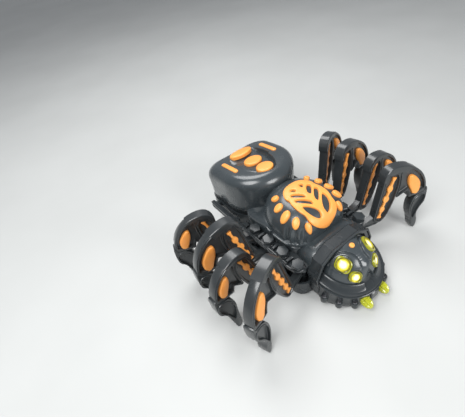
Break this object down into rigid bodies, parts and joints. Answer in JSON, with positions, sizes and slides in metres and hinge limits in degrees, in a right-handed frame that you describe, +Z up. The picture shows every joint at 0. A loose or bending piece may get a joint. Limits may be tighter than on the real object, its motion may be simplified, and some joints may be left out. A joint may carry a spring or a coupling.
{
  "type": "walking spider robot toy",
  "caption": "Battery-powered walking spider robot toy with crank-driven legs, a domed thorax, a rear battery pod and glowing eyes.",
  "frame": {"origin": "centre of the whole robot on the floor it stands on", "axes": "+Z up, +Y towards the rear pod, -Y towards the head, +X to the left side of the robot"},
  "size_m": [0.1872, 0.1659, 0.0661],
  "materials": {
    "shell_plastic": "gloss moulded plastic with a slight blue-grey sheen",
    "leg_plastic": "gloss moulded plastic",
    "orange_plastic": "satin moulded plastic",
    "lens_plastic": "translucent tinted plastic",
    "dark_plastic": "satin moulded plastic",
    "gear_plastic": "natural acetal",
    "steel": "plain",
    "brass": "plain",
    "battery_wrap": "printed sleeve without marks",
    "circuit_board": "lacquered board"
  },
  "bodies": {
    "chassis": {"chassis_tray": "dark_plastic", "deck_left": "shell_plastic", "deck_right": "shell_plastic", "gearbox_frame": "gear_plastic", "gear_axles": "steel", "motor_can": "steel", "pod_base": "dark_plastic", "pod_shell": "shell_plastic", "pod_spots": "orange_plastic", "batteries": "battery_wrap", "battery_contacts": "steel", "switch_body": "dark_plastic", "dome_shell": "shell_plastic", "leaf_panel": "orange_plastic", "dome_spots": "orange_plastic", "thorax_base": "shell_plastic", "head_hood": "shell_plastic", "head_face": "shell_plastic", "head_jaw": "shell_plastic", "eye_lenses": "lens_plastic", "brow_stud": "orange_plastic", "fangs": "lens_plastic", "light_board": "circuit_board", "screws": "steel"},
    "crank_front": {"crank_front": "steel"},
    "crank_rear": {"crank_rear": "steel"},
    "second_gear": {"second_gear": "gear_plastic"},
    "first_gear": {"first_gear": "gear_plastic"},
    "motor_shaft": {"motor_pinion": "brass"},
    "legs_inner_left": {"bar_inner_left": "dark_plastic", "femur_l1": "leg_plastic", "femur_l3": "leg_plastic", "shin_l1": "leg_plastic", "shin_l3": "leg_plastic", "feet_l_odd": "leg_plastic", "inlays_l_odd": "orange_plastic"},
    "legs_outer_left": {"bar_outer_left": "dark_plastic", "femur_l2": "leg_plastic", "femur_l4": "leg_plastic", "shin_l2": "leg_plastic", "shin_l4": "leg_plastic", "feet_l_even": "leg_plastic", "inlays_l_even": "orange_plastic"},
    "legs_inner_right": {"bar_inner_right": "dark_plastic", "femur_r1": "leg_plastic", "femur_r3": "leg_plastic", "shin_r1": "leg_plastic", "shin_r3": "leg_plastic", "feet_r_odd": "leg_plastic", "inlays_r_odd": "orange_plastic"},
    "legs_outer_right": {"bar_outer_right": "dark_plastic", "femur_r2": "leg_plastic", "femur_r4": "leg_plastic", "shin_r2": "leg_plastic", "shin_r4": "leg_plastic", "feet_r_even": "leg_plastic", "inlays_r_even": "orange_plastic"},
    "battery_door": {"battery_door": "dark_plastic"},
    "power_switch": {"power_switch": "dark_plastic"}
  },
  "joints": [
    {"name": "walk_crank", "type": "hinge", "parent": "chassis", "child": "crank_front", "pos_m": [0, -0.019, 0.011], "axis": [1, 0, 0], "continuous": true},
    {"name": "rear_crank", "type": "hinge", "parent": "chassis", "child": "crank_rear", "pos_m": [0, 0.013, 0.011], "axis": [1, 0, 0], "continuous": true},
    {"name": "inner_left_walk", "type": "hinge", "parent": "crank_front", "child": "legs_inner_left", "pos_m": [0.0278, -0.0215, 0.011], "axis": [1, 0, 0], "continuous": true},
    {"name": "outer_left_walk", "type": "hinge", "parent": "crank_front", "child": "legs_outer_left", "pos_m": [0.032, -0.0165, 0.011], "axis": [1, 0, 0], "continuous": true},
    {"name": "inner_right_walk", "type": "hinge", "parent": "crank_front", "child": "legs_inner_right", "pos_m": [-0.0278, -0.0215, 0.011], "axis": [1, 0, 0], "continuous": true},
    {"name": "outer_right_walk", "type": "hinge", "parent": "crank_front", "child": "legs_outer_right", "pos_m": [-0.032, -0.0165, 0.011], "axis": [1, 0, 0], "continuous": true},
    {"name": "second_gear_spin", "type": "hinge", "parent": "chassis", "child": "second_gear", "pos_m": [0.005, -0.01652, 0.02027], "axis": [1, 0, 0], "continuous": true},
    {"name": "first_gear_spin", "type": "hinge", "parent": "chassis", "child": "first_gear", "pos_m": [0.005, -0.01434, 0.02839], "axis": [1, 0, 0], "continuous": true},
    {"name": "motor_spin", "type": "hinge", "parent": "chassis", "child": "motor_shaft", "pos_m": [0.005, -0.00534, 0.02839], "axis": [1, 0, 0], "continuous": true},
    {"name": "battery_door_slide", "type": "slide", "parent": "chassis", "child": "battery_door", "axis": [0, 1, 0], "range_m": [0, 0.05]},
    {"name": "power_switch_slide", "type": "slide", "parent": "chassis", "child": "power_switch", "axis": [1, 0, 0], "range_m": [0, 0.004]}
  ],
  "couplings": [
    {"joint": "rear_crank", "follows": "walk_crank", "ratio": 1},
    {"joint": "inner_left_walk", "follows": "walk_crank", "ratio": -1},
    {"joint": "outer_left_walk", "follows": "walk_crank", "ratio": -1},
    {"joint": "inner_right_walk", "follows": "walk_crank", "ratio": -1},
    {"joint": "outer_right_walk", "follows": "walk_crank", "ratio": -1},
    {"joint": "second_gear_spin", "follows": "walk_crank", "ratio": -2.2},
    {"joint": "first_gear_spin", "follows": "walk_crank", "ratio": 5.5},
    {"joint": "motor_spin", "follows": "walk_crank", "ratio": -15.125}
  ]
}
